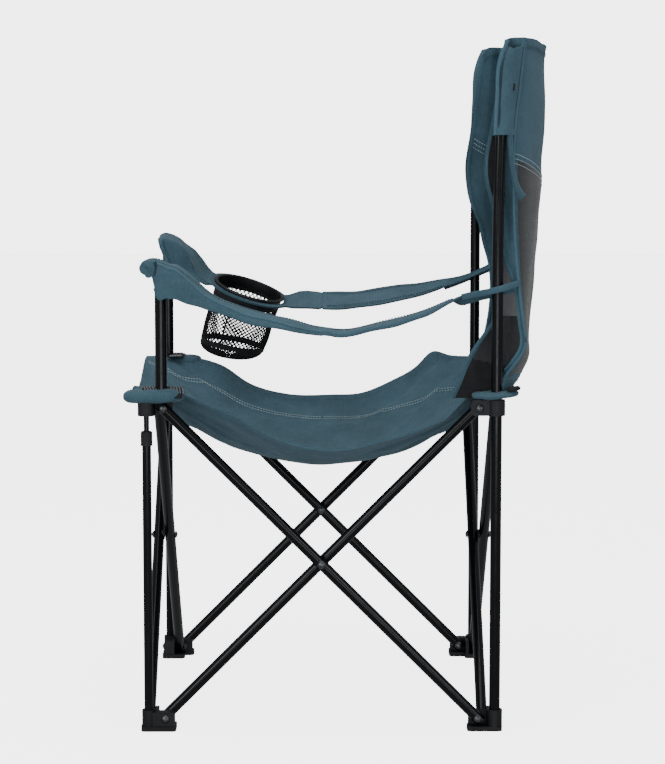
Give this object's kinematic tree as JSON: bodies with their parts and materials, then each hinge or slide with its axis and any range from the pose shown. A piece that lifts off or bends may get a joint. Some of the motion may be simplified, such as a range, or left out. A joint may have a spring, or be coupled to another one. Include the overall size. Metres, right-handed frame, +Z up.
{
  "type": "folding camp chair",
  "caption": "Folding fabric camp chair with crossed tubular legs, high sling back, armrests and a mesh cup holder in one arm.",
  "frame": {"origin": "middle of the chair's outline, on the ground", "axes": "+Z up, the chair faces -Y, its left side (as sat in) is +X"},
  "size_m": [0.6034, 0.622, 1.0047],
  "materials": {
    "fabric": "matt woven polyester",
    "mesh": "open mesh",
    "tube_steel": "gloss powder coat",
    "plastic": "moulded, satin",
    "ring_plastic": "moulded, satin",
    "rivet_steel": "zinc plated"
  },
  "bodies": {
    "rear_leg_left": {"foot_rear_left": "plastic", "foot_rivets_rear_left": "rivet_steel", "rear_post_left": "tube_steel", "post_cap_left": "plastic", "back_left": "fabric"},
    "side_tube_left_outer": {"tube_left_outer": "tube_steel", "cross_rivet_left": "rivet_steel", "washer_left": "plastic"},
    "side_tube_left_inner": {"tube_left_inner": "tube_steel"},
    "front_hub_left": {"hub_front_left": "plastic", "hub_rivets_front_left": "rivet_steel", "rod_left": "tube_steel", "arm_post_left": "tube_steel", "arm_cap_left": "plastic"},
    "front_leg_left": {"foot_front_left": "plastic", "foot_rivets_front_left": "rivet_steel", "leg_tube_left": "tube_steel", "collar_left": "plastic"},
    "rear_hub_left": {"hub_rear_left": "plastic", "hub_rivets_rear_left": "rivet_steel"},
    "rear_tube_inner": {"tube_rear_inner": "tube_steel"},
    "rear_tube_outer": {"tube_rear_outer": "tube_steel", "cross_rivet_rear": "rivet_steel", "washer_rear": "plastic"},
    "rear_leg_right": {"foot_rear_right": "plastic", "foot_rivets_rear_right": "rivet_steel", "rear_post_right": "tube_steel", "post_cap_right": "plastic", "back_right": "fabric"},
    "rear_hub_right": {"hub_rear_right": "plastic", "hub_rivets_rear_right": "rivet_steel"},
    "side_tube_right_inner": {"tube_right_inner": "tube_steel"},
    "side_tube_right_outer": {"tube_right_outer": "tube_steel", "cross_rivet_right": "rivet_steel", "washer_right": "plastic"},
    "front_hub_right": {"hub_front_right": "plastic", "hub_rivets_front_right": "rivet_steel", "rod_right": "tube_steel", "arm_post_right": "tube_steel", "arm_cap_right": "plastic"},
    "front_leg_right": {"foot_front_right": "plastic", "foot_rivets_front_right": "rivet_steel", "leg_tube_right": "tube_steel", "collar_right": "plastic"},
    "front_tube_inner": {"tube_front_inner": "tube_steel"},
    "front_tube_outer": {"tube_front_outer": "tube_steel", "cross_rivet_front": "rivet_steel", "washer_front": "plastic"},
    "seat_quarter_rear_left": {"seat_rear_left": "fabric"},
    "seat_quarter_rear_right": {"seat_rear_right": "fabric"},
    "seat_quarter_front_right": {"seat_front_right": "fabric"},
    "seat_quarter_front_left": {"seat_front_left": "fabric"},
    "armrest_left_front_half": {"armrest_front_left": "fabric"},
    "armrest_right_front_half": {"armrest_front_right": "fabric", "cup_ring": "ring_plastic", "cup_pocket": "mesh"},
    "armrest_left_rear_half": {"armrest_rear_left": "fabric"},
    "armrest_right_rear_half": {"armrest_rear_right": "fabric"}
  },
  "joints": [
    {"name": "fold", "type": "hinge", "parent": "rear_leg_left", "child": "side_tube_left_outer", "pos_m": [0.27165, 0.2055, 0.018], "axis": [-1, 0, 0], "range_deg": [0, 40], "deforming": ["back_left", "back_right"]},
    {"name": "front_hub_left_turn", "type": "hinge", "parent": "side_tube_left_outer", "child": "front_hub_left", "pos_m": [0.27165, -0.2505, 0.474], "axis": [-1, 0, 0], "range_deg": [-40, 0]},
    {"name": "left_cross", "type": "hinge", "parent": "side_tube_left_outer", "child": "side_tube_left_inner", "pos_m": [0.26315, -0.0225, 0.246], "axis": [-1, 0, 0], "range_deg": [-80, 0]},
    {"name": "front_leg_left_turn", "type": "hinge", "parent": "side_tube_left_inner", "child": "front_leg_left", "pos_m": [0.25465, -0.2505, 0.018], "axis": [-1, 0, 0], "range_deg": [0, 40]},
    {"name": "rear_hub_left_turn", "type": "hinge", "parent": "side_tube_left_inner", "child": "rear_hub_left", "pos_m": [0.25465, 0.2055, 0.474], "axis": [-1, 0, 0], "range_deg": [0, 40]},
    {"name": "rear_tube_foot", "type": "hinge", "parent": "rear_leg_left", "child": "rear_tube_inner", "pos_m": [0.24715, 0.213, 0.018], "axis": [0, 1, 0], "range_deg": [0, 40]},
    {"name": "rear_cross", "type": "hinge", "parent": "rear_tube_inner", "child": "rear_tube_outer", "pos_m": [0.01915, 0.2215, 0.246], "axis": [0, 1, 0], "range_deg": [-80, 0]},
    {"name": "rear_leg_right_turn", "type": "hinge", "parent": "rear_tube_outer", "child": "rear_leg_right", "pos_m": [-0.20885, 0.23, 0.018], "axis": [0, 1, 0], "range_deg": [0, 40]},
    {"name": "rear_hub_right_turn", "type": "hinge", "parent": "rear_tube_inner", "child": "rear_hub_right", "pos_m": [-0.20885, 0.213, 0.474], "axis": [0, 1, 0], "range_deg": [-40, 0]},
    {"name": "right_tube_foot", "type": "hinge", "parent": "rear_leg_right", "child": "side_tube_right_inner", "pos_m": [-0.21635, 0.2055, 0.018], "axis": [-1, 0, 0], "range_deg": [0, 40]},
    {"name": "right_cross", "type": "hinge", "parent": "side_tube_right_inner", "child": "side_tube_right_outer", "pos_m": [-0.22485, -0.0225, 0.246], "axis": [-1, 0, 0], "range_deg": [-80, 0]},
    {"name": "front_hub_right_turn", "type": "hinge", "parent": "side_tube_right_inner", "child": "front_hub_right", "pos_m": [-0.21635, -0.2505, 0.474], "axis": [-1, 0, 0], "range_deg": [-40, 0]},
    {"name": "front_leg_right_turn", "type": "hinge", "parent": "side_tube_right_outer", "child": "front_leg_right", "pos_m": [-0.23335, -0.2505, 0.018], "axis": [-1, 0, 0], "range_deg": [0, 40]},
    {"name": "front_tube_foot", "type": "hinge", "parent": "front_leg_right", "child": "front_tube_inner", "pos_m": [-0.20885, -0.258, 0.018], "axis": [0, -1, 0], "range_deg": [0, 40]},
    {"name": "front_cross", "type": "hinge", "parent": "front_tube_inner", "child": "front_tube_outer", "pos_m": [0.01915, -0.2665, 0.246], "axis": [0, -1, 0], "range_deg": [-80, 0]},
    {"name": "seat_rear_left_drop", "type": "hinge", "parent": "rear_hub_left", "child": "seat_quarter_rear_left", "pos_m": [0.25115, 0.2095, 0.493], "axis": [0.7071, -0.7071, 0], "range_deg": [0, 60], "deforming": ["seat_rear_left"]},
    {"name": "seat_rear_right_drop", "type": "hinge", "parent": "rear_hub_right", "child": "seat_quarter_rear_right", "pos_m": [-0.21285, 0.2095, 0.493], "axis": [0.7071, 0.7071, 0], "range_deg": [0, 60], "deforming": ["seat_rear_right"]},
    {"name": "seat_front_right_drop", "type": "hinge", "parent": "front_hub_right", "child": "seat_quarter_front_right", "pos_m": [-0.21285, -0.2545, 0.493], "axis": [-0.7071, 0.7071, 0], "range_deg": [0, 60], "deforming": ["seat_front_right"]},
    {"name": "seat_front_left_drop", "type": "hinge", "parent": "front_hub_left", "child": "seat_quarter_front_left", "pos_m": [0.25115, -0.2545, 0.493], "axis": [-0.7071, -0.7071, 0], "range_deg": [0, 60], "deforming": ["seat_front_left"]},
    {"name": "armrest_left_drop", "type": "hinge", "parent": "front_hub_left", "child": "armrest_left_front_half", "pos_m": [0.27165, -0.2385, 0.684], "axis": [-1, 0, 0], "range_deg": [0, 54], "deforming": ["armrest_front_left"]},
    {"name": "armrest_right_drop", "type": "hinge", "parent": "front_hub_right", "child": "armrest_right_front_half", "pos_m": [-0.23335, -0.2545, 0.684], "axis": [-1, 0, 0], "range_deg": [0, 42], "deforming": ["armrest_front_right", "cup_pocket"]},
    {"name": "armrest_left_slide", "type": "slide", "parent": "rear_leg_left", "child": "armrest_left_rear_half", "axis": [0, 0, 1], "range_m": [0, 0.058], "deforming": ["armrest_rear_left"]},
    {"name": "armrest_right_slide", "type": "slide", "parent": "rear_leg_right", "child": "armrest_right_rear_half", "axis": [0, 0, 1], "range_m": [0, 0.058], "deforming": ["armrest_rear_right"]}
  ],
  "couplings": [
    {"joint": "front_hub_left_turn", "follows": "fold", "ratio": -1},
    {"joint": "left_cross", "follows": "fold", "ratio": -2},
    {"joint": "front_leg_left_turn", "follows": "fold", "ratio": 1},
    {"joint": "rear_hub_left_turn", "follows": "fold", "ratio": 1},
    {"joint": "rear_tube_foot", "follows": "fold", "ratio": 1},
    {"joint": "rear_cross", "follows": "fold", "ratio": -2},
    {"joint": "rear_leg_right_turn", "follows": "fold", "ratio": 1},
    {"joint": "rear_hub_right_turn", "follows": "fold", "ratio": -1},
    {"joint": "right_tube_foot", "follows": "fold", "ratio": 1},
    {"joint": "right_cross", "follows": "fold", "ratio": -2},
    {"joint": "front_hub_right_turn", "follows": "fold", "ratio": -1},
    {"joint": "front_leg_right_turn", "follows": "fold", "ratio": 1},
    {"joint": "front_tube_foot", "follows": "fold", "ratio": 1},
    {"joint": "front_cross", "follows": "fold", "ratio": -2},
    {"joint": "seat_rear_left_drop", "follows": "fold", "ratio": 1.5},
    {"joint": "seat_rear_right_drop", "follows": "fold", "ratio": 1.5},
    {"joint": "seat_front_right_drop", "follows": "fold", "ratio": 1.5},
    {"joint": "seat_front_left_drop", "follows": "fold", "ratio": 1.5},
    {"joint": "armrest_left_drop", "follows": "fold", "ratio": 1.35},
    {"joint": "armrest_right_drop", "follows": "fold", "ratio": 1.05},
    {"joint": "armrest_left_slide", "follows": "fold", "m_per_rad": 0.083},
    {"joint": "armrest_right_slide", "follows": "fold", "m_per_rad": 0.083}
  ]
}
